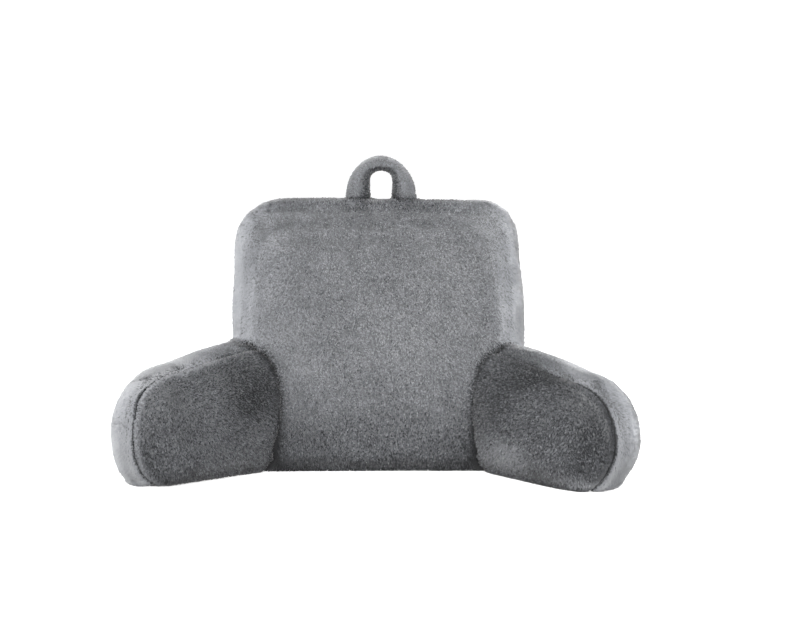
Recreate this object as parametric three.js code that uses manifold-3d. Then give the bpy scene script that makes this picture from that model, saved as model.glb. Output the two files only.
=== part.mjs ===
// A backrest pillow: a thick filled back, two filled arms that splay out in front of it,
// and a padded carrying loop sewn to the top. All of it is covered in short plush.
// Millimetres, +Z up. The sitter faces -Y, and the origin is the middle of the back's flat base.
import * as THREE from "three";
import { mergeVertices } from "three/addons/utils/BufferGeometryUtils.js";
import Module from "manifold-3d";

const GAP = 0.4; // between pieces that are sewn to each other

// The back, measured at the pile's tips
const BACK_WIDTH = 486;
const BACK_HEIGHT = 438;
const BACK_TOP = { left: 3, right: -2 }; // each end of the top edge, over or under that height
const BACK_BASE_WIDTH = 468;
const BACK_SHOULDER_WIDTH = 470; // where the top corners begin
const BACK_TOP_CORNER = { across: 68, down: 78, sharpness: 0.34 };
const BACK_BASE_CORNER = { across: 34, up: 40 };
const BACK_BOW = { from: 150, to: 235 }; // the sides are widest between these heights
const BACK_SINK = 13; // how far the filling would hang below the surface that flattens it
const BACK_THICK_AT_BASE = 176;
const BACK_THICK_AT_TOP = 122;
const BACK_LEAN = 0.075; // the middle of the back moves this far rearwards for each unit of height
const BACK_MIDDLE_HEIGHT = 210; // the faces are fullest at this height
const BACK_SQUARENESS = 0.52; // 1 would be an ellipse in section, 0 a box

// An arm lies in its own upright plane: "along" runs from inside the back to the tip
const ARM_LENGTH = 300;
const ARM_HEIGHT_AT_ROOT = 224;
const ARM_HEIGHT_AT_TIP = 184;
const ARM_SINK = 20;
const ARM_CORE = { to: 160, up: 86 }; // a level line from the root to near the tip
const ARM_SQUARENESS = 0.92;
const ARM_TIP = { level: 84, roundTop: 96 }; // upright at that height, and this long a curve above it
const ARM_TIP_BEND = { baseAcross: 0.4, baseUp: 0.3, topUp: 0.56, topAcross: 0.42, droop: 4 };
// Thickness along the arm, and how far its middle is shifted towards the sitter
const ARM_SECTIONS = [
  { along: 0, thick: 112, shift: 20 },
  { along: 60, thick: 152, shift: 8 },
  { along: 110, thick: 169, shift: 0 },
  { along: 200, thick: 158, shift: 0 },
  { along: 300, thick: 128, shift: 0 },
];
// Where each arm's plane starts inside the back, its splay away from straight ahead, how tall it
// stands, and how long the curve under its tip is
const ARMS = [
  { name: "arm_left", side: -1, root: { x: -173, y: 18 }, splay: 52.3, tall: 1.01, roundBase: 70 },
  { name: "arm_right", side: 1, root: { x: 193, y: 2 }, splay: 41.5, tall: 0.965, roundBase: 100 },
];

// The carrying loop
const LOOP_X = 6; // it sits a little off the middle
const LOOP_Y = 36;
const LOOP_HALF_SPAN = 38; // between the middle and the middle of a leg
const LOOP_RISE = 60; // of its middle line over the back's top
const LOOP_LEG = 14; // how far the legs run straight above the back's top
const LOOP_SUNK = 22; // how far each leg would run on into the back
const LOOP_HALF_THICK = { crown: 13.5, leg: 20 };
const LOOP_HALF_DEPTH = 17;

// The seam between a face and the band around it is a channel drawn into the filling
const CHANNEL_DEPTH = 4.5;
const CHANNEL_HALF_WIDTH = 9;
// A section's rings run from the middle of a face (0 degrees) over the middle of the band (90)
// to the middle of the other face (180), and are closest together at the two seams
const BACK_SEAM = 48;
const ARM_SEAM = 65;
const RINGS_AT_SEAM = [-8, -3, 0, 3, 8]; // counted from the seam
const FACE_RINGS = { from: 6, beforeSeam: 15, count: 5 };
const BAND_RINGS = { afterSeam: 15, to: 82, count: 2 };

const PLUSH_GREY = 0x85878b;
const ROUND_POINTS = 64; // round an outline
const ARCH_POINTS = 24;
const LOOP_RINGS = 34;
const LOOP_SIDES = 14;
const SECTION_SAMPLES = 60; // along the curve through an arm's sections

const wasm = await Module();
wasm.setup();

const degrees = (angle) => THREE.MathUtils.degToRad(angle);
const spread = (from, to, count) =>
  Array.from({ length: count }, (_, i) => THREE.MathUtils.lerp(from, to, i / (count - 1)));

// A closed surface from rings of equal length. Each end is closed like a ladder, by rungs from
// the points on one half of its ring to those on the other half.
function closedSurface(rings) {
  const count = rings[0].length;
  const lastRing = (rings.length - 1) * count;
  const faces = [];
  for (let j = 0; j + 1 < rings.length; j++) {
    for (let i = 0; i < count; i++) {
      const near = j * count;
      const far = near + count;
      const next = (i + 1) % count;
      faces.push(near + i, far + i, far + next, near + i, far + next, near + next);
    }
  }
  for (let i = 0; i + 1 < count / 2; i++) {
    const [a, b, c, d] = [i, i + 1, count - 2 - i, count - 1 - i];
    faces.push(a, b, c, a, c, d);
    faces.push(lastRing + a, lastRing + c, lastRing + b, lastRing + a, lastRing + d, lastRing + c);
  }
  const geometry = new THREE.BufferGeometry().setFromPoints(rings.flat());
  geometry.setIndex(faces);
  return geometry;
}

// Moves each point along its normal by the amount that the function gives for it.
function moveAlongNormals(geometry, amount) {
  geometry.computeVertexNormals();
  const { position, normal } = geometry.attributes;
  for (let i = 0; i < position.count; i++) {
    const by = amount(i);
    position.setXYZ(
      i,
      position.getX(i) + normal.getX(i) * by,
      position.getY(i) + normal.getY(i) * by,
      position.getZ(i) + normal.getZ(i) * by,
    );
  }
  return geometry;
}

function flattenBase(geometry) {
  const { position } = geometry.attributes;
  for (let i = 0; i < position.count; i++) position.setZ(i, Math.max(position.getZ(i), 0));
  return geometry;
}

function ringAngles(seam) {
  const half = [
    ...spread(FACE_RINGS.from, seam - FACE_RINGS.beforeSeam, FACE_RINGS.count),
    ...RINGS_AT_SEAM.map((offset) => seam + offset),
    ...spread(seam + BAND_RINGS.afterSeam, BAND_RINGS.to, BAND_RINGS.count),
  ];
  return [...half, 90, ...half.map((angle) => 180 - angle).reverse()];
}

// A filled cushion. Each ring is the outline drawn in towards its core by a superellipse,
// whose other number says how far the ring lies towards the near or the far face.
function cushion({ outline, core, squareness, seam, place }) {
  const angles = ringAngles(seam);
  const rings = angles.map((angle) => {
    const reach = Math.pow(Math.sin(degrees(angle)), squareness);
    const side = Math.cos(degrees(angle));
    const depth = Math.sign(side) * Math.pow(Math.abs(side), squareness);
    return outline.map((p) => {
      const flat = core(p).lerp(p, reach);
      return place(flat.x, flat.y, depth);
    });
  });
  // The distance to the seam is taken along the section, at the same place on the outline
  const drawn = rings.flatMap((ring, j) => {
    const sewn = rings[angles.indexOf(angles[j] < 90 ? seam : 180 - seam)];
    return ring.map((p, i) => CHANNEL_DEPTH * Math.exp(-((p.distanceTo(sewn[i]) / CHANNEL_HALF_WIDTH) ** 2)));
  });
  return moveAlongNormals(closedSurface(rings), (i) => -drawn[i]);
}

// The back seen from the front: a flat base, sides that bow a little, wide round shoulders.
function backOutline() {
  const base = BACK_BASE_WIDTH / 2;
  const shoulder = BACK_SHOULDER_WIDTH / 2;
  // A side is a curve whose middle is three quarters of this and an eighth of each end
  const bowed = (4 * BACK_WIDTH - base - shoulder) / 6;
  const { across, down, sharpness } = BACK_TOP_CORNER;
  const low = BACK_BASE_CORNER;
  const bow = BACK_BOW;
  const topRight = BACK_HEIGHT + BACK_TOP.right;
  const topLeft = BACK_HEIGHT + BACK_TOP.left;
  const corner = BACK_HEIGHT - down;
  const bend = BACK_HEIGHT - sharpness * down;
  const inset = sharpness * across;
  const shape = new THREE.Shape();
  shape.moveTo(0, -BACK_SINK);
  shape.lineTo(base - low.across, -BACK_SINK);
  shape.quadraticCurveTo(base, -BACK_SINK, base, low.up - BACK_SINK);
  shape.bezierCurveTo(bowed, bow.from, bowed, bow.to, shoulder, corner);
  shape.bezierCurveTo(shoulder, bend, shoulder - inset, topRight, shoulder - across, topRight);
  shape.quadraticCurveTo(0, topLeft, across - shoulder, topLeft);
  shape.bezierCurveTo(inset - shoulder, topLeft, -shoulder, bend, -shoulder, corner);
  shape.bezierCurveTo(-bowed, bow.to, -bowed, bow.from, -base, low.up - BACK_SINK);
  shape.quadraticCurveTo(-base, -BACK_SINK, low.across - base, -BACK_SINK);
  shape.lineTo(0, -BACK_SINK);
  return shape.getSpacedPoints(ROUND_POINTS).slice(0, ROUND_POINTS);
}

function backGeometry() {
  const place = (x, z, depth) => {
    const thick = THREE.MathUtils.mapLinear(z, 0, BACK_HEIGHT, BACK_THICK_AT_BASE, BACK_THICK_AT_TOP);
    return new THREE.Vector3(x, z * BACK_LEAN - (depth * thick) / 2, z);
  };
  return cushion({
    outline: backOutline(),
    core: () => new THREE.Vector2(0, BACK_MIDDLE_HEIGHT),
    squareness: BACK_SQUARENESS,
    seam: BACK_SEAM,
    place,
  });
}

// An arm seen from its side: level base, a top that falls towards the tip, and a round tip.
function armOutline(roundBase) {
  const { level, roundTop } = ARM_TIP;
  const bend = ARM_TIP_BEND;
  const shape = new THREE.Shape();
  shape.moveTo(0, ARM_CORE.up);
  shape.lineTo(0, -ARM_SINK);
  shape.lineTo(ARM_LENGTH - roundBase, -ARM_SINK);
  shape.bezierCurveTo(
    ARM_LENGTH - bend.baseAcross * roundBase, -ARM_SINK,
    ARM_LENGTH, bend.baseUp * level,
    ARM_LENGTH, level,
  );
  shape.bezierCurveTo(
    ARM_LENGTH, THREE.MathUtils.lerp(level, ARM_HEIGHT_AT_TIP, bend.topUp),
    ARM_LENGTH - bend.topAcross * roundTop, ARM_HEIGHT_AT_TIP - bend.droop,
    ARM_LENGTH - roundTop, ARM_HEIGHT_AT_TIP,
  );
  shape.lineTo(0, ARM_HEIGHT_AT_ROOT);
  shape.lineTo(0, ARM_CORE.up);
  return shape.getSpacedPoints(ROUND_POINTS).slice(0, ROUND_POINTS);
}

// A number from the table of sections, on a smooth curve through its rows.
function fromSections(column) {
  const curve = new THREE.SplineCurve(ARM_SECTIONS.map((row) => new THREE.Vector2(row.along, row[column])));
  const samples = curve.getPoints(SECTION_SAMPLES);
  return (along) => {
    const i = samples.findIndex((p) => p.x >= along);
    if (i <= 0) return samples[i === 0 ? 0 : samples.length - 1].y;
    const [a, b] = [samples[i - 1], samples[i]];
    return THREE.MathUtils.mapLinear(along, a.x, b.x, a.y, b.y);
  };
}

function armGeometry({ side, root, splay, tall, roundBase }) {
  const thickAt = fromSections("thick");
  const shiftAt = fromSections("shift");
  const ahead = new THREE.Vector2(side * Math.sin(degrees(splay)), -Math.cos(degrees(splay)));
  const inwards = new THREE.Vector2(-side * Math.cos(degrees(splay)), -Math.sin(degrees(splay)));
  // The right arm's outline runs the other way round, so its faces point out as the left one's do
  const place = (along, z, depth) => {
    const off = shiftAt(along) + (depth * thickAt(along)) / 2;
    return new THREE.Vector3(
      root.x + ahead.x * along + inwards.x * off,
      root.y + ahead.y * along + inwards.y * off,
      z * tall,
    );
  };
  const outline = armOutline(roundBase);
  return cushion({
    outline: side < 0 ? outline.reverse() : outline,
    core: (p) => new THREE.Vector2(Math.min(p.x, ARM_CORE.to), ARM_CORE.up),
    squareness: ARM_SQUARENESS,
    seam: ARM_SEAM,
    place,
  });
}

// The loop's middle line is half an ellipse on two straight legs, and its section is wider in the legs.
function loopGeometry() {
  const foot = BACK_HEIGHT - LOOP_SUNK;
  const spring = BACK_HEIGHT + LOOP_LEG; // where the legs turn into the arch
  const rise = BACK_HEIGHT + LOOP_RISE - spring;
  const path = new THREE.CurvePath();
  path.add(new THREE.LineCurve3(
    new THREE.Vector3(LOOP_X - LOOP_HALF_SPAN, LOOP_Y, foot),
    new THREE.Vector3(LOOP_X - LOOP_HALF_SPAN, LOOP_Y, spring),
  ));
  const arch = new THREE.EllipseCurve(LOOP_X, spring, LOOP_HALF_SPAN, rise, Math.PI, 0, true);
  const archPoints = arch.getPoints(ARCH_POINTS).map((p) => new THREE.Vector3(p.x, LOOP_Y, p.y));
  path.add(new THREE.CatmullRomCurve3(archPoints));
  path.add(new THREE.LineCurve3(
    new THREE.Vector3(LOOP_X + LOOP_HALF_SPAN, LOOP_Y, spring),
    new THREE.Vector3(LOOP_X + LOOP_HALF_SPAN, LOOP_Y, foot),
  ));
  const rings = [];
  for (let j = 0; j <= LOOP_RINGS; j++) {
    const t = j / LOOP_RINGS;
    const centre = path.getPointAt(t);
    const tangent = path.getTangentAt(t);
    const outwards = new THREE.Vector3(-tangent.z, 0, tangent.x);
    const leg = 1 - THREE.MathUtils.smoothstep(centre.z, BACK_HEIGHT, BACK_HEIGHT + LOOP_RISE);
    const half = THREE.MathUtils.lerp(LOOP_HALF_THICK.crown, LOOP_HALF_THICK.leg, leg);
    const ring = [];
    for (let i = 0; i < LOOP_SIDES; i++) {
      const a = (2 * Math.PI * i) / LOOP_SIDES;
      ring.push(new THREE.Vector3(0, LOOP_HALF_DEPTH * Math.sin(a), 0)
        .addScaledVector(outwards, half * Math.cos(a)).add(centre));
    }
    rings.push(ring);
  }
  return closedSurface(rings);
}

function toSolid(geometry) {
  const bare = geometry.clone();
  bare.deleteAttribute("normal");
  bare.deleteAttribute("uv");
  const merged = mergeVertices(bare, 1e-4);
  return new wasm.Manifold(new wasm.Mesh({
    numProp: 3,
    vertProperties: merged.attributes.position.array,
    triVerts: new Uint32Array(merged.index.array),
  }));
}

function toGeometry(solid) {
  const mesh = solid.getMesh();
  const geometry = new THREE.BufferGeometry();
  geometry.setAttribute("position", new THREE.BufferAttribute(mesh.vertProperties, 3));
  geometry.setIndex(new THREE.BufferAttribute(mesh.triVerts, 1));
  return geometry;
}

function piece(name, geometry) {
  const plush = new THREE.MeshStandardMaterial({ color: PLUSH_GREY, roughness: 0.95, metalness: 0 });
  const mesh = new THREE.Mesh(geometry, plush);
  mesh.name = name;
  return mesh;
}

const pillow = new THREE.Group();
pillow.add(piece("back_cushion", flattenBase(backGeometry())));

// What is sewn to the back is cut by the back's own surface, a gap proud of it
const grownBack = toSolid(moveAlongNormals(backGeometry(), () => GAP));
for (const arm of ARMS) {
  const solid = toSolid(flattenBase(armGeometry(arm)));
  pillow.add(piece(arm.name, toGeometry(solid.subtract(grownBack))));
}
pillow.add(piece("carry_loop", toGeometry(toSolid(loopGeometry()).subtract(grownBack))));

export default pillow;
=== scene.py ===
"""A plush backrest pillow: four stuffed pieces of cloth, each covered in short combed pile.

Every length is in metres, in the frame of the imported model. The sitter faces -Y.
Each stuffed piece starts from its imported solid, which reaches as far as the pile's tips. It is
drawn in to where the cloth lies, filled by a cloth simulation, brought back near its packed form,
softened, and pressed in along its seams. The firm loop is drawn in only, as it has no seam that
shows. The pile is then planted on each piece: tufts of thin blades that lean the way the plush is
brushed.
"""
from types import SimpleNamespace

import bmesh
import bpy
import numpy as np
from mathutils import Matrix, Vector
from mathutils.bvhtree import BVHTree


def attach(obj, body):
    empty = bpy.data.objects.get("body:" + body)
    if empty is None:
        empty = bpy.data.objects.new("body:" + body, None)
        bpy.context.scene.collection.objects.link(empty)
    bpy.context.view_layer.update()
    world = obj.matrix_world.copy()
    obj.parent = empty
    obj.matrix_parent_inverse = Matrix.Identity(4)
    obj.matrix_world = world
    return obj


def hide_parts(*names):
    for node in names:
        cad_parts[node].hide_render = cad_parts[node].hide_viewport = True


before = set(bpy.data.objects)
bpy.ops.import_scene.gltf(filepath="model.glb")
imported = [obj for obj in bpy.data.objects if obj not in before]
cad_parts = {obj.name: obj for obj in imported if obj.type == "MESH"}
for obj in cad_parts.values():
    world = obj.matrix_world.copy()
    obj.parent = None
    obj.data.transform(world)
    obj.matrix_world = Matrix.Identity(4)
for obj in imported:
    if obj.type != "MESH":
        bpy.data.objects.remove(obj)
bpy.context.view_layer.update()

# The pile
PILE = 0.0052  # from the cloth to the tips
UNEVEN = SimpleNamespace(wave=0.06, wave_size=0.010, stray=0.05)  # shares of that, up and down
TUFTS = 250000  # to the square metre, where the pile is not thinned or thickened
BLADES = 4  # to a tuft
TUFT_RADIUS = 0.0012
TIP_GATHER = 0.45  # how much of that radius is left at the tips
TIP_STRAY = 0.0008
BLADE_WIDTH = 0.0012
BLADE_WIDTHS = (0.7, 1.3)  # the least and the most of that width
BLADE_ARCH = 0.10  # of a blade's length, outwards where it is widest
WIDEST = 0.6  # of the way from root to tip
LEAN = 0.45  # sideways for each unit of height
SLANT = SimpleNamespace(usual=0.95, wave=0.2, wave_size=0.03)  # shares of that lean
SWIRL = 0.42  # how much the brushing strays from its main way
SWIRL_SIZE = 0.07
FLATTENED = SimpleNamespace(lower=0.12, more_lean=0.9, less_tilt=0.8, hidden_root=0.6)  # where brushed flat
PARTING = 0.0040  # how far from a seam the pile is parted
PARTED_LOWER = 0.35  # how much lower the pile is in a parting
SEAM_GAP = 0.0010  # bare cloth on each side of a seam
BARE = 0.0012  # no pile closer than this to a neighbour
SHORT = SimpleNamespace(share=0.50, within=0.008)  # of the pile's length right beside a neighbour
UNDERSIDE = SimpleNamespace(facing=-0.96, height=0.004)  # no pile where a piece rests on the floor
RESTING = 0.0004  # no blade reaches lower
SLANTING = (0.31, 0.52, 0.79)  # any slanting way, from which a tuft's sideways ones are found

# The pile's shades, from 0 for the darkest to 1 for the lightest
SHADES = (0.02, 0.98)  # none lies outside these
PATCH = SimpleNamespace(shade=0.03, size=0.09)  # the lighter and darker patches that brushing leaves
GRAIN = SimpleNamespace(tuft=0.6, pit=0.5, blade=0.6)  # how tufts, pits and blades differ where uneven
SEAM_SHADE = 0.34  # painted shade: how much darker the pile is in a seam's groove
SEAM_HALF_WIDTH = 0.0018
RIDGE = SimpleNamespace(at=-0.0085, half_width=0.0050)  # the pile that stands up beside it, which gets a painted highlight
LOW_RIDGE_HIGHLIGHT = SimpleNamespace(light=0.16, at=0.010, half_width=0.0040)  # and a painted highlight past it near the floor
VALLEY_SHADE = SimpleNamespace(dark=0.11, reach=0.012)  # painted shade past a seam, except at the tips
TUCKED_SHADE_REACH = 0.025  # how far painted shade reaches where two pieces meet
CREASE_SHADOW = SimpleNamespace(dark=0.34, reach=0.0030)  # the painted shadow line there
FLOOR_SHADOW = SimpleNamespace(dark=0.36, reach=0.008)  # the painted shadow line along the floor
LOW_SHADE = SimpleNamespace(dark=0.255, heights=(-0.02, 0.20))  # the painted shade above it, on the back
TUFT_TILT = 0.09  # how far the way a tuft is lit strays from the cloth's
BLADE_TILT = 0.10  # and a blade's from its tuft's
BRUSHED_TILT = 0.1  # and both the way they are brushed
SHADE_STEP = 0.0036  # a blade's width on its map

# The cloth under the pile
VOXEL = 0.0048
LOOP_VOXEL = 0.003
SMOOTHING = 8
SUNK = 0.0046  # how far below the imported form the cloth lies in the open
LITTLE_SUNK = 0.0032  # and on the arms and the loop
SWELL = 0.0025  # what the filling adds to a piece that starts this much smaller
MOST_SWELL = 0.006
SWELL_KEPT = 0.20  # of the way that the filled cloth strays from its packed form
PRESSURE = 4.0
LOOSE = 0.02  # how much larger the cloth is cut than it starts
HELD = 0.6  # of a voxel on each side of a seam, where the thread holds the cloth
FRAMES = 20
STEPS = 4  # to a frame
SOFTENING = (0.5, -0.52)  # of the way to the points around: first towards them, then out again
PACKED_CHANNEL = SimpleNamespace(depth=0.0045, half_width=0.009)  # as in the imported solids
CHANNEL = SimpleNamespace(depth=0.0045, half_width=0.0065)  # as it is sewn here
LUMP = SimpleNamespace(height=0.0008, size=0.10)
PUCKER = SimpleNamespace(height=0.0004, size=0.017, reach=0.018)
CLOSE = 0.0015  # a neighbour's cloth is met within this distance
CLEAR = 0.005  # past this distance a piece is drawn in by the whole pile
REACH = 0.08  # no distance to a neighbour is looked for past this
GROUND_SHADE_REACH = 0.012  # painted shade darkens the ground closer than this to a neighbour
FACING_DOWN = (0.6, 0.95)  # how straight down the cloth faces, from none of it resting to all
OFF_FLOOR = (0.02, 0.04)  # heights, from resting on the floor to clear of it
FRONT = (-0.3, 0.3)  # of the back's half thickness, from its rear to its front
INNER = (-0.2, 0.2)  # of an arm's half thickness, from its outer side to its inner one

# Where an arm's inner seam is sewn nearer to the band's middle, by its place along and up
RESEWN = SimpleNamespace(tip=(0.12, 0.22), high=(0.11, 0.15), low=(0.02, 0.08))

# What sitting and carrying have left on the cloth, by its place across and up
DENTS = (
    SimpleNamespace(start=(-0.215, 0.435), end=(-0.195, 0.420), half_width=0.030, depth=0.0050),
    SimpleNamespace(start=(0.165, 0.445), end=(0.185, 0.440), half_width=0.025, depth=-0.0025),
    SimpleNamespace(start=(0.145, 0.435), end=(0.184, 0.385), half_width=0.012, depth=0.0018),
    SimpleNamespace(start=(-0.243, 0.190), end=(-0.243, 0.310), half_width=0.035, depth=0.0035),
    SimpleNamespace(start=(0.243, 0.350), end=(0.243, 0.390), half_width=0.035, depth=0.0020),
)
# The loop is a little thinner over its hole
LOOP_HOLE = (SimpleNamespace(start=(-0.010, 0.482), end=(0.022, 0.482), half_width=0.012, depth=0.0045),)
# A short painted shadow of a fold at one upper corner of the back
PINCH_SHADOW = SimpleNamespace(start=(-0.171, 0.437), end=(-0.176, 0.422), half_width=0.0035, dark=0.16)

# The forms of the stuffed pieces, as in the imported solids, and patches of painted light and shade, partly
# where the nap is brushed lighter or darker
BACK = SimpleNamespace(
    lean=0.075, height=0.438, thick_base=0.176, thick_top=0.122,
    core=(0.0, 0.210), squareness=0.52, seam=np.radians(48),
    # patches of painted light and shade, partly where the nap is brushed lighter or darker
    brushed=(
        SimpleNamespace(at=(0.061, 0.250), size=(0.060, 0.050), shade=0.05),
        SimpleNamespace(at=(-0.067, 0.329), size=(0.080, 0.060), shade=-0.03),
        SimpleNamespace(at=(-0.092, 0.225), size=(0.050, 0.040), shade=-0.04),
        SimpleNamespace(at=(-0.075, 0.080), size=(0.030, 0.050), shade=-0.04),
        SimpleNamespace(at=(0.085, 0.417), size=(0.060, 0.020), shade=-0.05),
        SimpleNamespace(at=(-0.024, 0.430), size=(0.020, 0.015), shade=-0.10),
        SimpleNamespace(at=(0.150, 0.360), size=(0.050, 0.045), shade=0.05),
        SimpleNamespace(at=(0.172, 0.412), size=(0.030, 0.022), shade=0.07),
    ),
)
ARM = SimpleNamespace(
    core=(0.160, 0.086), squareness=0.92, seam=np.radians(65),
    along=(0.0, 0.060, 0.110, 0.200, 0.300),
    thick=(0.112, 0.152, 0.169, 0.158, 0.128),
    shift=(0.020, 0.008, 0.0, 0.0, 0.0),
)
# On each arm the darkening near the root is painted shade, ridge is a painted highlight beside the inner
# seam, and the patches are painted light and shade, partly where the nap is brushed lighter or darker
ARMS = {
    "arm_left": SimpleNamespace(
        side=-1, root=(-0.173, 0.018), splay=np.radians(52.3), tall=1.01, seam_at_root=0.35, root_shade=0.07,
        resewn=SimpleNamespace(high=0.009, tip=0.001, low=0.0), ridge=0.26,
        lifted=SimpleNamespace(at=(0.180, 0.0), size=(0.150, 0.028), height=0.0060),
        brushed=(
            SimpleNamespace(at=(0.092, 0.145), size=(0.045, 0.040), shade=-0.17),
            SimpleNamespace(at=(0.260, 0.055), size=(0.020, 0.025), shade=-0.05),
            SimpleNamespace(at=(0.130, 0.030), size=(0.070, 0.025), shade=0.06),
            SimpleNamespace(at=(0.245, 0.130), size=(0.030, 0.040), shade=0.05),
        ),
        band_light_and_shade=(SimpleNamespace(at=(0.225, 0.170), size=(0.060, 0.035), shade=0.20),),
    ),
    "arm_right": SimpleNamespace(
        side=1, root=(0.193, 0.002), splay=np.radians(41.5), tall=0.965, seam_at_root=0.25, root_shade=0.20,
        resewn=SimpleNamespace(high=0.007, tip=0.005, low=0.001), ridge=0.05,
        lifted=SimpleNamespace(at=(0.302, 0.0), size=(0.042, 0.055), height=0.0200),
        brushed=(
            SimpleNamespace(at=(0.155, 0.175), size=(0.060, 0.028), shade=-0.20),
            SimpleNamespace(at=(0.255, 0.090), size=(0.045, 0.045), shade=-0.13),
            SimpleNamespace(at=(0.105, 0.145), size=(0.040, 0.040), shade=-0.10),
            SimpleNamespace(at=(0.245, 0.015), size=(0.050, 0.009), shade=0.34),
            SimpleNamespace(at=(0.100, 0.035), size=(0.050, 0.032), shade=0.28),
        ),
        band_light_and_shade=(SimpleNamespace(at=(0.170, 0.200), size=(0.060, 0.030), shade=-0.04),),
    ),
}

# How the pile is brushed on the back, with painted light and shade: a painted highlight on its rims, which
# are where it turns to the sides
BACK_COAT = SimpleNamespace(
    shade=0.50, rim_highlight=0.01, right_rim_highlight=0.08, top_shade=0.12,
    rim_seam=(-0.035, 0.030), rim_facing=(0.30, 0.85), right=(0.0, 0.1), top_facing=(0.55, 0.9),
    uneven=0.16, smooth_left=0.55, rougher_right=0.45, rougher=(-0.20, -0.03), even_rim=0.8,
    flat_rim=0.9, parted_rear=0.6, tucked_shade=0.02, tucked_low=0.26, low=(0.0, 0.13),
)
# On an arm, with the inner face the darkest by painted shade
ARM_COAT = SimpleNamespace(
    shade=0.54, inner_shade=0.29, outer_shade=0.10,
    tipward=(0.09, 0.19), rootward=(0.08, 0.20), low=(0.02, 0.07), low_wide=(0.02, 0.12),
    fade=0.003, fade_at_root=0.012, unbroken=0.85, broken=0.25, broken_size=0.03,
    uneven=0.04, uneven_face=0.10, even_ridge=0.85, uneven_root=0.06, unflat_root=0.6,
    tucked_shade=0.08, untucked_low=0.14, band_floor_shadow=0.3, face_floor_shadow=0.7,
)
# And on the loop, by which way it faces from the middle of its hole, with painted shade facing the hole and
# a painted highlight on its crown
LOOP_COAT = SimpleNamespace(
    middle=(0.006, 0.465), inner=(-0.2, 0.8), crown=(0.2, 0.9), shade=0.49, inner_shade=0.24,
    crown_highlight=0.19, uneven=0.06, uneven_inner=0.14, flat=0.5, tucked_shade=0.10,
)

# The plush's colours, as places on a ramp: by shade, and from the root, darkened by painted shade, to the
# tip
PLUSH_SHADES = (
    (0.0, (0.015, 0.0155, 0.017)), (0.25, (0.099, 0.102, 0.109)),
    (0.5, (0.277, 0.285, 0.302)), (1.0, (0.60, 0.605, 0.615)),
)
ROOT_SHADE_TO_TIP = ((0.0, (0.60, 0.60, 0.60)), (0.55, (0.88, 0.88, 0.88)), (1.0, (1.0, 1.0, 1.0)))
PLUSH = SimpleNamespace(roughness=0.85, shine=0.15, sheen=0.25, sheen_roughness=0.5)

# The knitted ground: fine rows of stitches, a little crooked, and lighter and darker spots
KNIT = SimpleNamespace(rows=220, crooked=2.0, grain=90, relief=0.4, height=0.0008, roughness=0.95, shine=0.1)
KNIT_TONES = ((0.3, (0.14, 0.143, 0.147)), (0.7, (0.22, 0.225, 0.23)))
# the ground's painted shade, in seams and beside a neighbour
KNIT_PAINTED_SHADE = (0.02, 0.02, 0.021, 1)

# The floor and the surroundings look brighter than the light that they throw
FLOOR = SimpleNamespace(half=30.0, thrown=(0.35, 0.35, 0.35), seen=(0.9, 0.9, 0.9), glow=0.62, roughness=0.9)
SURROUNDINGS = SimpleNamespace(thrown=0.55, seen=1.2)
LIGHTS = (
    SimpleNamespace(name="left_side", place=(-1.9, 0.3, 0.15), size=1.2, power=75),
    SimpleNamespace(name="right_side", place=(1.9, 0.45, 0.15), size=1.2, power=134),
    SimpleNamespace(name="front", place=(0, -2.3, 1.0), size=1.6, power=88),
)
LIGHTS_AIM = (0, 0, 0.22)

# The camera, where the photograph was taken from
CAMERA = (0.010, -2.490, 0.590)
AIM = (0.038, 0.0, 0.253)
LENS = 68.3  # mm
SENSOR = 36  # mm wide

# The waves of smooth noise: how many, how closely they follow each other and how far they swing
WAVES = SimpleNamespace(count=14, closeness=(0.6, 1.4), swing=1.6)


def wander(points, size, seed):
    """Smooth noise about -1 to 1: the sum of cosine waves that cross the points in random directions,
    each about size long, over its usual swing, which grows as the root of half their count."""
    rng = np.random.default_rng(seed)
    ways = rng.normal(size=(WAVES.count, 3))
    turns = (2 * np.pi / size) * rng.uniform(*WAVES.closeness, (WAVES.count, 1))
    ways *= turns / np.linalg.norm(ways, axis=1, keepdims=True)
    phases = rng.uniform(0, 2 * np.pi, WAVES.count)
    return np.cos(points @ ways.T + phases).sum(1) / np.sqrt(WAVES.count / 2) / WAVES.swing


def beside(points, line):
    """1 on the line between two places, less away from it as a bell: exp(-(distance / half width)^2)."""
    start, end = np.array(line.start), np.array(line.end)
    way = end - start
    on = np.clip((points - start) @ way / (way @ way), 0, 1)
    distance = np.linalg.norm(points - start - on[:, None] * way, axis=1)
    return np.exp(-((distance / line.half_width) ** 2))


def around(along, height, patch):
    """1 in the middle of a patch, less away from it as a bell: exp(-(along / size)^2 - (up / size)^2)."""
    off_along = (along - patch.at[0]) / patch.size[0]
    off_up = (height - patch.at[1]) / patch.size[1]
    return np.exp(-(off_along ** 2) - off_up ** 2)


def brushed_light_and_shade(along, height, patches):
    """How much lighter or darker the patches make the pile, partly painted light and shade: the sum of each
    one's shade times its bell.
    """
    return sum(patch.shade * around(along, height, patch) for patch in patches)


def ramp(values, low, high):
    """0 below low, 1 above high, and a smooth step between them: 3 t^2 - 2 t^3."""
    t = np.clip((values - low) / (high - low), 0, 1)
    return t * t * (3 - 2 * t)


def unit(vectors):
    """Each vector at length 1."""
    return vectors / np.maximum(np.linalg.norm(vectors, axis=-1, keepdims=True), 1e-9)


def nearest(points, tree):
    """The distance from each point to the surface of the tree, or REACH where that is farther."""
    found = np.full(len(points), REACH)
    for number, point in enumerate(points):
        distance = tree.find_nearest(point, REACH)[3]
        if distance is not None:
            found[number] = distance
    return found


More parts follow.
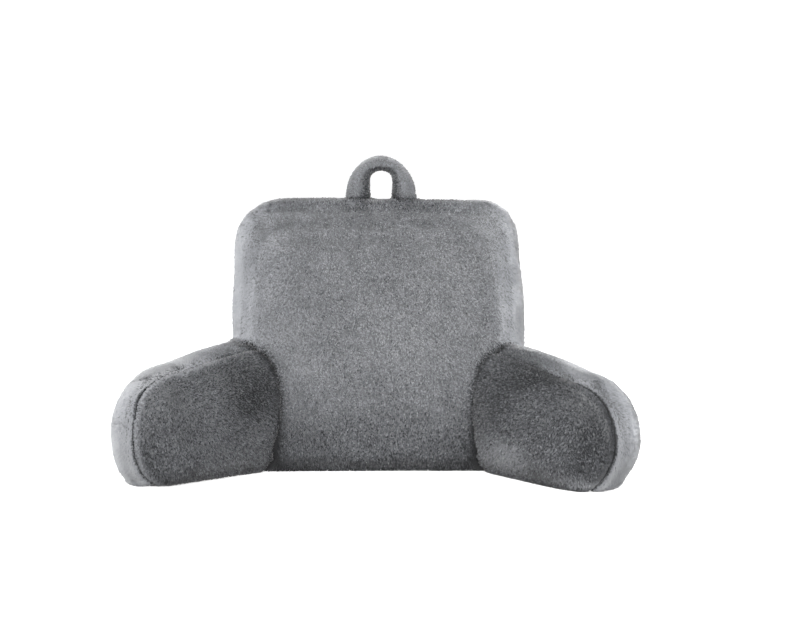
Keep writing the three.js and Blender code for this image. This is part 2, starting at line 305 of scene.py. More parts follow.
def height_over(points, tree):
    """How far each point lies outside the tree's surface, less than nought inside."""
    found = np.empty(len(points))
    for number, point in enumerate(points):
        hit, normal, _, distance = tree.find_nearest(point)
        outside = (point - np.array(hit)) @ np.array(normal) > 0
        found[number] = distance if outside else -distance
    return found


def read_mesh(mesh):
    """A mesh's points, corner numbers of its triangles and outward normals, as arrays."""
    mesh.calc_loop_triangles()
    co = np.empty(len(mesh.vertices) * 3, np.float32)
    mesh.vertices.foreach_get("co", co)
    normal = np.empty(len(mesh.vertices) * 3, np.float32)
    mesh.vertex_normals.foreach_get("vector", normal)
    tri = np.empty(len(mesh.loop_triangles) * 3, np.int32)
    mesh.loop_triangles.foreach_get("vertices", tri)
    return co.reshape(-1, 3).astype(float), tri.reshape(-1, 3), normal.reshape(-1, 3).astype(float)


def write_points(mesh, co):
    """Puts an array of points into a mesh that has as many."""
    mesh.vertices.foreach_set("co", co.astype(np.float32).ravel())
    mesh.update()


def packed_surfaces():
    """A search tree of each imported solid's surface, by the name of its node."""
    found = {}
    for node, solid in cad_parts.items():
        corners, faces, _ = read_mesh(solid.data)
        found[node] = BVHTree.FromPolygons(corners.tolist(), faces.tolist())
    return found


def seam_frame(flat, core, depth, half_thick, form, axes, facing):
    """Where points lie about a cushion's seam. A section is a superellipse: its reach from the core
    is the sine of an angle, and its depth the cosine, both to the power of its squareness. The seam
    is at one such angle. Returns the distance from it along the section, less than nought on the
    face, and the way across the seam towards the band."""
    power = form.squareness
    size = np.clip(np.abs(depth), 0.0, 1.0)
    angle = np.arccos(size ** (1 / power))
    out = flat - core
    reach = np.linalg.norm(out, axis=1)
    wide = reach / np.maximum(np.sin(angle), 0.2) ** power
    sine, cosine = np.sin(form.seam), np.cos(form.seam)
    outwards = wide * power * sine ** (power - 1) * cosine
    inwards = half_thick * power * cosine ** (power - 1) * sine
    distance = (angle - form.seam) * np.hypot(outwards, inwards)
    across = (out / np.maximum(reach, 1e-6)[:, None]) @ axes * outwards[:, None]
    across = across - np.sign(depth)[:, None] * facing * np.broadcast_to(inwards, depth.shape)[:, None]
    return distance, unit(across)


def back_seam(co):
    """The seam frame of the back, whose sections stand across its own leaning middle."""
    thick = np.interp(co[:, 2], (0, BACK.height), (BACK.thick_base, BACK.thick_top))
    depth = (co[:, 2] * BACK.lean - co[:, 1]) / (thick / 2)
    axes = np.array([(1.0, 0.0, 0.0), (0.0, 0.0, 1.0)])
    facing = np.array((0.0, -1.0, 0.0))
    distance, across = seam_frame(co[:, [0, 2]], np.array(BACK.core), depth, thick / 2, BACK, axes, facing)
    return distance, across, depth


def arm_ways(arm):
    """The level ways of an arm: ahead from its root to its tip, and inwards to the sitter."""
    ahead = np.array((arm.side * np.sin(arm.splay), -np.cos(arm.splay)))
    inwards = np.array((-arm.side * np.cos(arm.splay), -np.sin(arm.splay)))
    return ahead, inwards


def along_arm(co, arm):
    """How far along an arm each point is, from the root towards the tip."""
    ahead, _ = arm_ways(arm)
    return (co[:, :2] - np.array(arm.root)) @ ahead


def arm_seam(co, arm):
    """The seam frame of an arm, which lies in an upright plane splayed out from straight ahead."""
    ahead, inwards = arm_ways(arm)
    along = along_arm(co, arm)
    thick = np.interp(along, ARM.along, ARM.thick)
    aside = (co[:, :2] - np.array(arm.root)) @ inwards
    depth = (aside - np.interp(along, ARM.along, ARM.shift)) / (thick / 2)
    flat = np.stack([along, co[:, 2] / arm.tall], 1)
    core = np.stack([np.minimum(along, ARM.core[0]), np.full_like(along, ARM.core[1])], 1)
    axes = np.array([(*ahead, 0.0), (0.0, 0.0, 1.0)])
    facing = np.array((*inwards, 0.0))
    distance, across = seam_frame(flat, core, depth, thick / 2, ARM, axes, facing)
    return distance, across, depth


def no_seam(co):
    """The seam frame of a piece without a seam that shows."""
    return np.full(len(co), 1.0), np.zeros_like(co), np.zeros(len(co))


def resewn(co, arm):
    """How much nearer to the band's middle an arm's inner seam is sewn than its packed form: by one
    distance high up, by another at the tip, and by a third more low down there."""
    tipward = ramp(along_arm(co, arm), *RESEWN.tip)
    high = ramp(co[:, 2], *RESEWN.high)
    low = 1 - ramp(co[:, 2], *RESEWN.low)
    return arm.resewn.high * high + tipward * (arm.resewn.tip * (1 - high) + arm.resewn.low * low)


def lift(co, arm):
    """Raises the soft lower edge of an arm off the floor by its height times the bell of around."""
    co[:, 2] += arm.lifted.height * around(along_arm(co, arm), co[:, 2], arm.lifted)


def sewn_in(seam, depth):
    """How far the cloth is pressed in by its sewing: a channel along the seam, the same at any depth."""
    return CHANNEL.depth * np.exp(-((seam / CHANNEL.half_width) ** 2))


def rear_sewn_in(seam, depth):
    """As sewn_in, but at the rear alone. In front the pile is brushed over the seam and hides it."""
    return (1 - ramp(depth, *FRONT)) * sewn_in(seam, depth)


def unsewn(seam):
    """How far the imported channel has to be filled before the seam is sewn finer."""
    return PACKED_CHANNEL.depth * np.exp(-((seam / PACKED_CHANNEL.half_width) ** 2))


def softened(co, tri, weight, passes):
    """Points freed of small bumps. In each pass a point moves half its weight of the way to the mean
    of the points that it shares an edge with, then a little more than that away from it, so that the
    large forms keep their size."""
    edges = np.concatenate([tri[:, [0, 1]], tri[:, [1, 2]], tri[:, [2, 0]]])
    start, end = np.concatenate([edges, edges[:, ::-1]]).T
    number = np.bincount(start, minlength=len(co))
    for _ in range(passes):
        for share in SOFTENING:
            mean = np.stack([np.bincount(start, co[end, axis], len(co)) / number for axis in range(3)], 1)
            co = co + share * weight[:, None] * (mean - co)
    return co


def evened_copy(node, voxel):
    """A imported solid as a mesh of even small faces: its triangles joined, remeshed and smoothed."""
    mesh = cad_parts[node].data.copy()
    shape = bmesh.new()
    shape.from_mesh(mesh)
    bmesh.ops.remove_doubles(shape, verts=shape.verts, dist=1e-5)
    shape.to_mesh(mesh)
    shape.free()
    rough = bpy.data.objects.new("rough", mesh)
    bpy.context.scene.collection.objects.link(rough)
    remesh = rough.modifiers.new("even", "REMESH")
    remesh.mode = "VOXEL"
    remesh.voxel_size = voxel
    soft = rough.modifiers.new("soft", "SMOOTH")
    soft.factor = 0.5
    soft.iterations = SMOOTHING
    bpy.context.view_layer.update()
    evened = bpy.data.meshes.new_from_object(rough.evaluated_get(bpy.context.evaluated_depsgraph_get()))
    bpy.data.objects.remove(rough)
    evened.materials.clear()
    return evened


def fill(cloth, seam):
    """Blows a closed cloth up from inside, held along its seams, and caps how far each point moves."""
    start = read_mesh(cloth.data)[0]
    sewn = cloth.vertex_groups.new(name="sewn")
    held = np.flatnonzero(np.abs(seam) < VOXEL * HELD)
    sewn.add([int(i) for i in held], 1.0, "REPLACE")
    stuffing = cloth.modifiers.new("stuffing", "CLOTH")
    settings = stuffing.settings
    settings.quality = STEPS
    settings.use_pressure = True
    settings.uniform_pressure_force = PRESSURE
    settings.vertex_group_mass = "sewn"
    settings.shrink_min = -LOOSE
    settings.effector_weights.gravity = 0
    stuffing.collision_settings.use_collision = False
    stuffing.point_cache.frame_start = 1
    stuffing.point_cache.frame_end = FRAMES
    for number in range(1, FRAMES + 1):
        bpy.context.scene.frame_set(number)
    blown = cloth.evaluated_get(bpy.context.evaluated_depsgraph_get()).to_mesh()
    moved = read_mesh(blown)[0] - start
    cloth.evaluated_get(bpy.context.evaluated_depsgraph_get()).to_mesh_clear()
    cloth.modifiers.remove(stuffing)
    cloth.vertex_groups.remove(sewn)
    bpy.context.scene.frame_set(1)
    far = np.linalg.norm(moved, axis=1, keepdims=True)
    moved *= np.minimum(1, MOST_SWELL / np.maximum(far, 1e-9))
    write_points(cloth.data, start + moved)


def in_open_air(co, normal, room):
    """1 where the pile stands free, less to 0 where a piece meets a neighbour or rests on the floor."""
    on_floor = ramp(-normal[:, 2], *FACING_DOWN) * (1 - ramp(co[:, 2], *OFF_FLOOR))
    return ramp(room, CLOSE, CLEAR) * (1 - on_floor)


def bring_back(mesh, packed, seam, open_air, sunk, passes):
    """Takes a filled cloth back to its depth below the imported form, all the way where it meets a
    neighbour, and all but SWELL_KEPT of the way in the open. Its packed channel is filled and its
    surface softened."""
    co, tri, normal = read_mesh(mesh)
    astray = height_over(co, packed) + sunk * open_air
    co += normal * (unsewn(seam) * open_air - astray * (1 - SWELL_KEPT * open_air))[:, None]
    write_points(mesh, softened(co, tri, open_air, passes))


def sewn_and_worn(co, seam, pressed, dents):
    """How far out the cloth stands after sewing and use: lumps, and puckers that fade away from a seam
    as exp(-distance / reach), less what is pressed in at the seams and dented."""
    lumps = LUMP.height * wander(co, LUMP.size, 11)
    puckers = PUCKER.height * wander(co, PUCKER.size, 12) * np.exp(-np.abs(seam) / PUCKER.reach)
    dented = sum(dent.depth * beside(co[:, [0, 2]], dent) for dent in dents)
    return lumps + puckers - pressed - dented


def dress(cloth, pressed, room):
    """Gives a cloth its smooth ground, with a map of where that is free of painted shade: neither in a
    seam nor beside a neighbour."""
    cloth.data.polygons.foreach_set("use_smooth", np.ones(len(cloth.data.polygons), bool))
    cloth.data.materials.append(backing)
    unshaded = cloth.data.attributes.new("in_the_open", "FLOAT", "POINT")
    away_from_seam = 1 - np.clip(pressed / CHANNEL.depth, 0, 1)
    unshaded.data.foreach_set("value", (away_from_seam * ramp(room, 0.0, GROUND_SHADE_REACH)).astype(np.float32))


def stuffed(
    name, node, neighbours, seam_of,
    channel=sewn_in, voxel=VOXEL, swell=SWELL, sunk=SUNK, passes=0, dents=(), arm=None,
):
    """A stuffed piece under its pile. It is drawn in below the pile, but not where it meets a
    neighbour, then filled and brought back near its packed form. At last it is pressed in at its
    seams and left a little lumpy and puckered. An arm's inner seam is sewn anew and its lower edge
    lifted. Returns what the pile has to know of it at each point."""
    cloth = bpy.data.objects.new(name, evened_copy(node, voxel))
    bpy.context.scene.collection.objects.link(cloth)
    co, _, normal = read_mesh(cloth.data)
    seam, across, depth = seam_of(co)
    room = np.full(len(co), REACH)
    for other in neighbours:
        room = np.minimum(room, nearest(co, surfaces[other]))
    open_air = in_open_air(co, normal, room)
    write_points(cloth.data, co - normal * ((sunk + swell) * open_air)[:, None])
    if swell:
        fill(cloth, seam)
    bring_back(cloth.data, surfaces[node], seam, open_air, sunk, passes)
    co, _, normal = read_mesh(cloth.data)
    if arm:
        seam = seam - resewn(co, arm) * ramp(depth, *INNER)
    pressed = channel(seam, depth)
    co += normal * (sewn_and_worn(co, seam, pressed, dents) * open_air)[:, None]
    co[:, 2] = np.maximum(co[:, 2], RESTING * 2)
    if arm:
        lift(co, arm)
    write_points(cloth.data, co)
    dress(cloth, pressed, room)
    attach(cloth, "root")
    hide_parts(node)
    co, tri, normal = read_mesh(cloth.data)
    return SimpleNamespace(
        co=co, tri=tri, normal=normal, seam=seam, across=across, depth=depth, room=room,
    )


def tuft_places(cloth, rng, wanted, thick):
    """Even random places on the cloth: each triangle gets its area's share of tufts, with the part
    left over as a chance of one more. Returns what the cloth holds there, blended from its corners."""
    a, b, c = (cloth.co[cloth.tri[:, i]] for i in range(3))
    area = np.linalg.norm(np.cross(b - a, c - a), axis=1) / 2
    count = np.floor(area * TUFTS * thick + rng.random(len(area))).astype(int)
    which = np.repeat(np.arange(len(area)), count)
    r, s = rng.random(len(which)), rng.random(len(which))
    r = np.sqrt(r)
    share = np.stack([1 - r, r * (1 - s), r * s], 1)
    corners = cloth.tri[which]

    def blend(values):
        """The mean of a triangle's three corners, weighed by how near the place is to each."""
        weights = share if values.ndim == 1 else share[:, :, None]
        return (values[corners] * weights).sum(1)

    spot = SimpleNamespace(
        co=blend(cloth.co), normal=unit(blend(cloth.normal)), seam=blend(cloth.seam),
        across=blend(cloth.across), depth=blend(cloth.depth), room=blend(cloth.room),
    )
    resting = (spot.normal[:, 2] < UNDERSIDE.facing) & (spot.co[:, 2] < UNDERSIDE.height)
    keep = (spot.room > BARE) & ~resting & wanted(spot)
    return SimpleNamespace(**{key: value[keep] for key, value in vars(spot).items()})


def each(values):
    """The values of the tufts, repeated for each blade of a tuft."""
    return np.repeat(values, BLADES, axis=0)


def combed(spot, parted, away, brush, seed):
    """The way each tuft is brushed: as the piece is, with a swirl, laid along the cloth, and turned
    away from a seam as far as it is parted there."""
    swirl = np.stack([wander(spot.co, SWIRL_SIZE, seed + axis) for axis in (1, 2, 3)], 1)
    brushed = np.array(brush) + SWIRL * swirl
    brushed = unit(brushed - (brushed * spot.normal).sum(1, keepdims=True) * spot.normal)
    return unit(brushed * (1 - parted)[:, None] + away * parted[:, None])


def tuft_tips(spot, style, brushed, parted, length, seed, rng):
    """Where each tuft ends: its height out from the cloth and its lean the way it is brushed. Both are
    a little uneven, and less beside a neighbour. It is lower in a parting, and where it is brushed
    flat it is lower and leans more."""
    strayed = UNEVEN.wave * wander(spot.co, UNEVEN.wave_size, seed + 4)
    tall = PILE * length * (1 + strayed + UNEVEN.stray * rng.normal(size=len(spot.co)))
    full = SHORT.share + (1 - SHORT.share) * ramp(spot.room, 0.0, SHORT.within)
    tall *= (1 - PARTED_LOWER * parted) * (1 - FLATTENED.lower * style.flat) * full
    slant = SLANT.usual + SLANT.wave * wander(spot.co, SLANT.wave_size, seed + 5)
    lean = LEAN * PILE * length * slant * (1 + FLATTENED.more_lean * style.flat) * full
    return spot.co + spot.normal * tall[:, None] + brushed * lean[:, None]


def blade_corners(spot, tip, away, gap, rng):
    """The three corners of every blade: its root, somewhere in its tuft's small round, a point off to
    one side past its middle, arched outwards, and its tip, near the tuft's. All are kept off a seam
    by the gap."""
    total = len(tip) * BLADES
    side_a = unit(np.cross(spot.normal, np.array(SLANTING)))
    side_b = np.cross(spot.normal, side_a)
    turn = rng.uniform(0, 2 * np.pi, total)
    out = TUFT_RADIUS * np.sqrt(rng.random(total))
    offset = each(side_a) * (out * np.cos(turn))[:, None] + each(side_b) * (out * np.sin(turn))[:, None]
    root = each(spot.co) + offset
    end = each(tip) + offset * TIP_GATHER + rng.normal(size=(total, 3)) * TIP_STRAY

    def off_seam(points):
        """Points moved across the seam until they are clear of it on their tuft's own side."""
        clear = each(np.abs(spot.seam)) + ((points - each(spot.co)) * each(away)).sum(1)
        return points + each(away) * np.maximum(each(gap) - clear, 0)[:, None]

    root, end = off_seam(root), off_seam(end)
    run = end - root
    across = unit(np.cross(run, rng.normal(size=(total, 3))))
    across *= np.where((np.cross(across, run) * each(spot.normal)).sum(1, keepdims=True) < 0, -1, 1)
    arch = BLADE_ARCH * np.linalg.norm(run, axis=1, keepdims=True)
    wide = BLADE_WIDTH * rng.uniform(*BLADE_WIDTHS, (total, 1))
    side = off_seam(root + run * WIDEST + each(spot.normal) * arch + across * wide)
    points = np.stack([root, side, end], 1)
    points[:, :, 2] = np.maximum(points[:, :, 2], RESTING)
    return points


def blade_facing(spot, style, brushed, rng):
    """The way each blade is lit: its cloth's, strayed a little by its tuft, by itself and the way it is
    brushed, and less where it is brushed flat."""
    count = len(spot.co)
    tilt = 1 - FLATTENED.less_tilt * style.flat
    strayed = (TUFT_TILT * tilt)[:, None] * rng.normal(size=(count, 3))
    soft = unit(spot.normal + strayed + brushed * BRUSHED_TILT)
    return unit(each(soft) + each(BLADE_TILT * tilt)[:, None] * rng.normal(size=(count * BLADES, 3)))


def blade_shades(spot, style, seed, rng):
    """The shade of each blade: its coat's, with soft patches, strays from tuft to tuft and blade to
    blade, and a few dark pits, less the painted shade and the painted shadow line beside a neighbour."""
    count = len(spot.co)
    pits = rng.exponential(size=count) - 1
    shade = style.shade + PATCH.shade * wander(spot.co, PATCH.size, seed + 6)
    shade += style.uneven * (GRAIN.tuft * rng.normal(size=count) - GRAIN.pit * pits)
    # painted shade, and a painted shadow line, beside a neighbour
    shade -= style.tucked_shade * np.exp(-spot.room / TUCKED_SHADE_REACH) + CREASE_SHADOW.dark * np.exp(-spot.room / CREASE_SHADOW.reach)
    return np.clip(each(shade) + GRAIN.blade * each(style.uneven) * rng.normal(size=count * BLADES), *SHADES)


def plant(name, cloth, seed, coat, wanted=lambda spot: True, length=1.0, thick=1.0, brush=(0, 0, -1)):
    """Pile on a cloth, in tufts of blades. coat says for each tuft its shade, how uneven it is, how
    flat it is brushed, how clearly it is parted at a seam and how much painted shade it gets beside
    another piece."""
    rng = np.random.default_rng(seed)
    spot = tuft_places(cloth, rng, wanted, thick)
    style = coat(spot)
    parted = style.parted * np.exp(-((spot.seam / PARTING) ** 2))
    away = spot.across * np.sign(spot.seam)[:, None]
    brushed = combed(spot, parted, away, brush, seed)
    tip = tuft_tips(spot, style, brushed, parted, length, seed, rng)
    points = blade_corners(spot, tip, away, SEAM_GAP * style.parted, rng)
    facing = blade_facing(spot, style, brushed, rng)
    shade = blade_shades(spot, style, seed, rng)
    blades(name, points, shade, facing, each(style.flat))


def blades(name, points, shade, facing, flat):
    """The mesh of many single triangles, with the map of their shades: across is the shade, and up is
    from root to tip, with painted shade at the root. They are lit as the cloth below would be, each a
    little off its way, so that the pile reads as one soft surface. Where it is brushed flat the roots
    don't show, so they are put nearer the tips on the map, out of most of the painted root shade."""
    total = len(points)
    mesh = bpy.data.meshes.new(name)
    mesh.vertices.add(total * 3)
    mesh.vertices.foreach_set("co", points.astype(np.float32).ravel())
    mesh.loops.add(total * 3)
    mesh.loops.foreach_set("vertex_index", np.arange(total * 3, dtype=np.int32))
    mesh.polygons.add(total)
    mesh.polygons.foreach_set("loop_start", np.arange(0, total * 3, 3, dtype=np.int32))
    mesh.update(calc_edges=True)
    place = np.array([(0, 0.01), (SHADE_STEP, WIDEST), (0, 0.99)])
    # where the pile is brushed flat, most of the painted shade at the roots is left out
    up = 1 - (1 - place[:, 1]) * (1 - FLATTENED.hidden_root * flat)[:, None]
    uv = np.stack([shade[:, None] + place[:, 0], up], 2)
    layer = mesh.uv_layers.new(name="OFBake")
    layer.data.foreach_set("uv", uv.astype(np.float32).ravel())
    mesh.polygons.foreach_set("use_smooth", np.ones(total, bool))
    mesh.normals_split_custom_set_from_vertices(np.repeat(facing, 3, axis=0).astype(np.float32))
    mesh.materials.append(plush)
    pile = bpy.data.objects.new(name, mesh)
    bpy.context.scene.collection.objects.link(pile)
    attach(pile, "root")


def new_material(name):
    """A new node material, its Principled shader, a function that adds a node and one that links."""
    material = bpy.data.materials.new(name)
    material.use_nodes = True
    tree = material.node_tree
    shader = tree.nodes["Principled BSDF"]

    def add(kind, **values):
        """A new node of a kind, with some of its settings."""
        node = tree.nodes.new(kind)
        for key, value in values.items():
            setattr(node, key, value)
        return node

    return material, shader, add, tree.links.new


def set_ramp(node, *stops):
    """A colour ramp through (place, colour) stops."""
    elements = node.color_ramp.elements
    while len(elements) < len(stops):
        elements.new(0.5)
    for element, (place, colour) in zip(elements, stops):
        element.position = place
        element.color = (*colour, 1.0)


def plush_material():
    """Soft matt fibre. The map's first number is the blade's shade, and its second runs from the
    root, darkened by painted shade, to the tip. Both sides of a blade are lit from outside the cloth."""
    material, shader, add, link = new_material("grey_plush")
    place = add("ShaderNodeUVMap", uv_map="OFBake")
    parts = add("ShaderNodeSeparateXYZ")
    shade = add("ShaderNodeValToRGB")
    depth = add("ShaderNodeValToRGB")
    mixed = add("ShaderNodeMix", data_type="RGBA", blend_type="MULTIPLY")
    set_ramp(shade, *PLUSH_SHADES)
    # painted shade: each blade darkens towards its root
    set_ramp(depth, *ROOT_SHADE_TO_TIP)
    mixed.inputs["Factor"].default_value = 1.0
    side = add("ShaderNodeNewGeometry")
    turned = add("ShaderNodeMath", operation="MULTIPLY_ADD")
    outward = add("ShaderNodeVectorMath", operation="SCALE")
    # 1 on a blade's outer side, and 1 - 2 on its inner one, which turns the normal round there
    turned.inputs[1].default_value = -2.0
    turned.inputs[2].default_value = 1.0
    link(side.outputs["Backfacing"], turned.inputs[0])
    link(side.outputs["Normal"], outward.inputs[0])
    link(turned.outputs[0], outward.inputs["Scale"])
    link(outward.outputs["Vector"], shader.inputs["Normal"])
    link(place.outputs["UV"], parts.inputs["Vector"])
    link(parts.outputs["X"], shade.inputs["Fac"])
    link(parts.outputs["Y"], depth.inputs["Fac"])
    link(shade.outputs["Color"], mixed.inputs[6])
    link(depth.outputs["Color"], mixed.inputs[7])
    link(mixed.outputs[2], shader.inputs["Base Color"])
    shader.inputs["Roughness"].default_value = PLUSH.roughness
    shader.inputs["Specular IOR Level"].default_value = PLUSH.shine
    shader.inputs["Sheen Weight"].default_value = PLUSH.sheen
    shader.inputs["Sheen Roughness"].default_value = PLUSH.sheen_roughness
    return material


def backing_material():
    """The knitted ground that the pile is planted in, seen only deep between the tufts."""
    material, shader, add, link = new_material("knitted_ground")
    place = add("ShaderNodeTexCoord")
    rows = add("ShaderNodeTexWave", wave_type="BANDS", bands_direction="Z")
    grain = add("ShaderNodeTexNoise")
    tone = add("ShaderNodeValToRGB")
    bump = add("ShaderNodeBump")
    rows.inputs["Scale"].default_value = KNIT.rows
    rows.inputs["Distortion"].default_value = KNIT.crooked
    grain.inputs["Scale"].default_value = KNIT.grain
    set_ramp(tone, *KNIT_TONES)
    # painted shade: the ground turns near black in a seam and beside a neighbour
    unshaded = add("ShaderNodeAttribute", attribute_name="in_the_open")
    shaded = add("ShaderNodeMix", data_type="RGBA", blend_type="MIX")
    shaded.inputs[6].default_value = KNIT_PAINTED_SHADE
    link(unshaded.outputs["Fac"], shaded.inputs["Factor"])
    link(tone.outputs["Color"], shaded.inputs[7])
    bump.inputs["Strength"].default_value = KNIT.relief
    bump.inputs["Distance"].default_value = KNIT.height
    link(place.outputs["Object"], rows.inputs["Vector"])
    link(place.outputs["Object"], grain.inputs["Vector"])
    link(grain.outputs["Fac"], tone.inputs["Fac"])
    link(rows.outputs["Fac"], bump.inputs["Height"])
    link(shaded.outputs[2], shader.inputs["Base Color"])
    link(bump.outputs["Normal"], shader.inputs["Normal"])
    shader.inputs["Roughness"].default_value = KNIT.roughness
    shader.inputs["Specular IOR Level"].default_value = KNIT.shine
    return material


def floor():
    """A pale plain floor, far wider than the view. It glows a little to the eye, as a lit studio sweep
    does, and throws little light back up."""
    half = FLOOR.half
    corners = [(-half, -half, 0), (half, -half, 0), (half, half, 0), (-half, half, 0)]
    mesh = bpy.data.meshes.new("floor")
    mesh.from_pydata(corners, [], [(0, 1, 2, 3)])
    material, shader, add, link = new_material("pale_floor")
    seen = add("ShaderNodeLightPath")
    tone = add("ShaderNodeValToRGB")
    glow = add("ShaderNodeMath", operation="MULTIPLY")
    set_ramp(tone, (0.0, FLOOR.thrown), (1.0, FLOOR.seen))
    glow.inputs[1].default_value = FLOOR.glow
    link(seen.outputs["Is Camera Ray"], tone.inputs["Fac"])
    link(seen.outputs["Is Camera Ray"], glow.inputs[0])
    link(tone.outputs["Color"], shader.inputs["Base Color"])
    link(glow.outputs[0], shader.inputs["Emission Strength"])
    shader.inputs["Emission Color"].default_value = (1, 1, 1, 1)
    shader.inputs["Roughness"].default_value = FLOOR.roughness
    mesh.materials.append(material)
    ground = bpy.data.objects.new("floor", mesh)
    bpy.context.scene.collection.objects.link(ground)


def turned_to(place, aim):
    """The turn that points a light or a camera at a place from another, with its top up."""
    return (Vector(aim) - Vector(place)).to_track_quat("-Z", "Y").to_euler()


def area_light(name, place, size, power):
    """A soft square light at a place, turned to the pillow."""
    data = bpy.data.lights.new(name, "AREA")
    data.size = size
    data.energy = power
    light = bpy.data.objects.new(name, data)
    light.location = place
    light.rotation_euler = turned_to(place, LIGHTS_AIM)
    bpy.context.scene.collection.objects.link(light)


def white_surroundings():
    """Plain white all round, brighter to the eye than the light that it throws."""
    world = bpy.data.worlds.new("studio")
    world.use_nodes = True
    seen = world.node_tree.nodes.new("ShaderNodeLightPath")
    strength = world.node_tree.nodes.new("ShaderNodeMapRange")
    strength.inputs["To Min"].default_value = SURROUNDINGS.thrown
    strength.inputs["To Max"].default_value = SURROUNDINGS.seen
    background = world.node_tree.nodes["Background"]
    background.inputs["Color"].default_value = (1, 1, 1, 1)
    world.node_tree.links.new(seen.outputs["Is Camera Ray"], strength.inputs["Value"])
    world.node_tree.links.new(strength.outputs["Result"], background.inputs["Strength"])
    bpy.context.scene.world = world


def light_and_camera():
    """Bright soft light from both sides and a little behind, and one in front above."""
    white_surroundings()
    for light in LIGHTS:
        area_light(light.name, light.place, light.size, light.power)
    data = bpy.data.cameras.new("camera")
    data.lens = LENS
    data.sensor_width = SENSOR
    camera = bpy.data.objects.new("camera", data)
    camera.location = CAMERA
    camera.rotation_euler = turned_to(CAMERA, AIM)
    bpy.context.scene.collection.objects.link(camera)
    bpy.context.scene.camera = camera
    bpy.context.scene.view_settings.view_transform = "Standard"


def painted_low_shade(co):
    """How much painted shade darkens the pile of the back near its base."""
    return LOW_SHADE.dark * (1 - ramp(co[:, 2], *LOW_SHADE.heights))


def painted_floor_shadow(co):
    """How dark the painted shadow line is that a piece makes with the floor: its dark times exp(-height /
    reach).
    """
    return FLOOR_SHADOW.dark * np.exp(-co[:, 2] / FLOOR_SHADOW.reach)


def back_coat(spot):
    """The back has even rims at the sides with a painted highlight, more on the right, and painted shade
    low down, most of all beside the arms, and on its top band, where it faces up. Its left half is the
    smoother, and one of its upper corners has the painted shadow of a pinch."""
    look = BACK_COAT
    # painted highlight on the rims, more on the right
    rim = ramp(spot.seam, *look.rim_seam) * ramp(np.abs(spot.across[:, 0]), *look.rim_facing)
    rim_highlight = look.rim_highlight + look.right_rim_highlight * ramp(spot.co[:, 0], *look.right)
    # painted shade on the top band, where it faces up
    top = ramp(spot.normal[:, 2], *look.top_facing)
    patches = brushed_light_and_shade(spot.co[:, 0], spot.co[:, 2], BACK.brushed)
    rough = look.smooth_left + look.rougher_right * ramp(spot.co[:, 0], *look.rougher)
    # painted shadow of a small fold, on the front only
    pinch_shadow = PINCH_SHADOW.dark * beside(spot.co[:, [0, 2]], PINCH_SHADOW) * (spot.depth > 0)
    # painted shade low down and a painted shadow along the floor
    shade = look.shade + rim_highlight * rim + patches - painted_low_shade(spot.co) - painted_floor_shadow(spot.co)
    return SimpleNamespace(
        shade=shade - look.top_shade * top - pinch_shadow,
        uneven=look.uneven * rough * (1 - look.even_rim * rim),
        flat=look.flat_rim * rim,
        parted=np.where(spot.depth > 0, 0.0, look.parted_rear),
        # painted shade beside the arms, most of all low down
        tucked_shade=look.tucked_shade + look.tucked_low * (1 - ramp(spot.co[:, 2], *look.low)),
    )


def arm_lines(spot, arm, clear, broken, low, tipward):
    """What an arm's seam adds to its shade: painted highlights on the ridge of pile on its face side and
    on the low one past it, less the painted shade of the dark line. Each is a bell of the distance from
    its own middle. Returns the ridge too."""
    # painted shade in the seam's groove, and painted highlights on the ridges beside it
    line = clear * broken * np.exp(-((spot.seam / SEAM_HALF_WIDTH) ** 2))
    ridge = clear * np.exp(-(((spot.seam - RIDGE.at) / RIDGE.half_width) ** 2))
    low_ridge_highlight = low * tipward * np.exp(-(((spot.seam - LOW_RIDGE_HIGHLIGHT.at) / LOW_RIDGE_HIGHLIGHT.half_width) ** 2))
    return arm.ridge * ridge + LOW_RIDGE_HIGHLIGHT.light * low_ridge_highlight - SEAM_SHADE * line, ridge


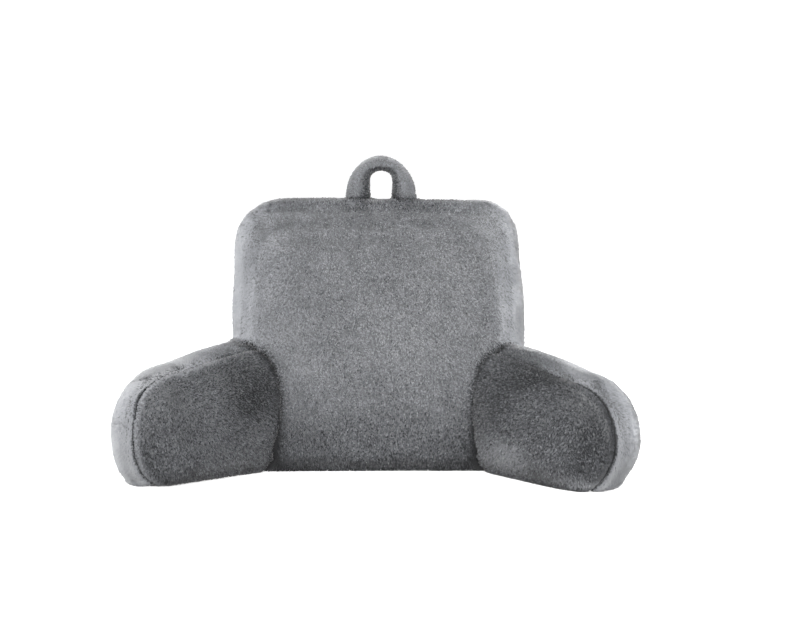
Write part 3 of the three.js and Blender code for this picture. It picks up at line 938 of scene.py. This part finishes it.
def arm_coat(arm):
    """The inner face of an arm is much darker than the smooth band round it, and the outer face a
    little: painted shade where the nap is brushed another way. A seam is clearest near the tip, as is
    the painted highlight on the ridge of pile on its face side."""
    look = ARM_COAT

    def coat(spot):
        """An arm's coat. face is 1 on either face and 0 on the band, and fades across the seam."""
        along = along_arm(spot.co, arm)
        height = spot.co[:, 2]
        tipward = ramp(along, *look.tipward)
        rootward = 1 - ramp(along, *look.rootward)
        low = 1 - ramp(height, *look.low)
        fade = look.fade + look.fade_at_root * (1 - arm.seam_at_root) * (1 - tipward) * (1 - low)
        face = ramp(-spot.seam, -fade, fade)
        clear = arm.seam_at_root + (1 - arm.seam_at_root) * tipward
        broken = look.unbroken + look.broken * wander(spot.co, look.broken_size, 21)
        lines, ridge = arm_lines(spot, arm, clear, broken, low, tipward)
        # painted shade on the band near the root, beside the back
        root = arm.root_shade * rootward * (1 - face)
        # painted shade on the band towards the seam, except near the tip
        valley_shade = VALLEY_SHADE.dark * (1 - tipward) * np.exp(-np.abs(spot.seam) / VALLEY_SHADE.reach) * (1 - face)
        # patches of painted light and shade, partly where the nap is brushed lighter or darker
        on_face = brushed_light_and_shade(along, height, arm.brushed)
        on_band = brushed_light_and_shade(along, height, arm.band_light_and_shade)
        patches = on_face * face * (spot.depth > 0) + on_band * (1 - face)
        # painted shade on the faces, where the nap is brushed another way
        faces = np.where(spot.depth > 0, look.inner_shade, look.outer_shade) * face
        # painted shadow along the floor, fainter on the band
        floor_shadow = (look.band_floor_shadow + look.face_floor_shadow * face) * painted_floor_shadow(spot.co)
        uneven_face = look.uneven_face * face * (1 - look.even_ridge * ridge)
        return SimpleNamespace(
            shade=look.shade - faces - root - valley_shade + lines + patches - floor_shadow,
            uneven=look.uneven + uneven_face + look.uneven_root * rootward * (1 - face),
            flat=(1 - face) * (1 - look.unflat_root * rootward),
            parted=clear * broken,
            # painted shade beside the back, less low down
            tucked_shade=look.tucked_shade - look.untucked_low * (1 - ramp(height, *look.low_wide)),
        )

    return coat


def loop_coat(spot):
    """The loop has painted shade where it faces its own hole, and a painted highlight on its crown."""
    look = LOOP_COAT
    inwards = (unit(np.array(look.middle) - spot.co[:, [0, 2]]) * spot.normal[:, [0, 2]]).sum(1)
    inner = ramp(inwards, *look.inner)
    crown = ramp(spot.normal[:, 2], *look.crown)
    # painted shade facing the hole and a painted highlight on the crown
    return SimpleNamespace(
        shade=look.shade - look.inner_shade * inner + look.crown_highlight * crown,
        uneven=look.uneven + look.uneven_inner * inner,
        flat=look.flat * (1 - inner),
        parted=np.zeros(len(spot.co)),
        # painted shade beside the back
        tucked_shade=np.full(len(spot.co), look.tucked_shade),
    )


light_and_camera()
floor()
plush = plush_material()
backing = backing_material()
surfaces = packed_surfaces()

back = stuffed(
    "back_cloth", "back_cushion", ["arm_left", "arm_right", "carry_loop"], back_seam,
    channel=rear_sewn_in, passes=45, dents=DENTS,
)
plant("back_front_pile", back, 100, back_coat, lambda spot: (spot.seam < 0) & (spot.depth > 0), thick=1.3)
plant("back_band_pile", back, 200, back_coat, lambda spot: spot.seam >= 0, thick=1.1)
plant("back_rear_pile", back, 300, back_coat, lambda spot: (spot.seam < 0) & (spot.depth <= 0), thick=0.9)
for number, (node, arm) in enumerate(ARMS.items()):
    sleeve = stuffed(
        node + "_cloth", node, ["back_cushion"], lambda co, arm=arm: arm_seam(co, arm),
        sunk=LITTLE_SUNK, passes=25, arm=arm,
    )
    plant(node + "_pile", sleeve, 400 + 100 * number, arm_coat(arm), thick=1.25)
handle = stuffed(
    "loop_cloth", "carry_loop", ["back_cushion"], no_seam,
    voxel=LOOP_VOXEL, swell=0.0, sunk=LITTLE_SUNK, dents=LOOP_HOLE,
)
plant("loop_pile", handle, 600, loop_coat, length=0.85, thick=1.3, brush=(0, -1, -0.4))
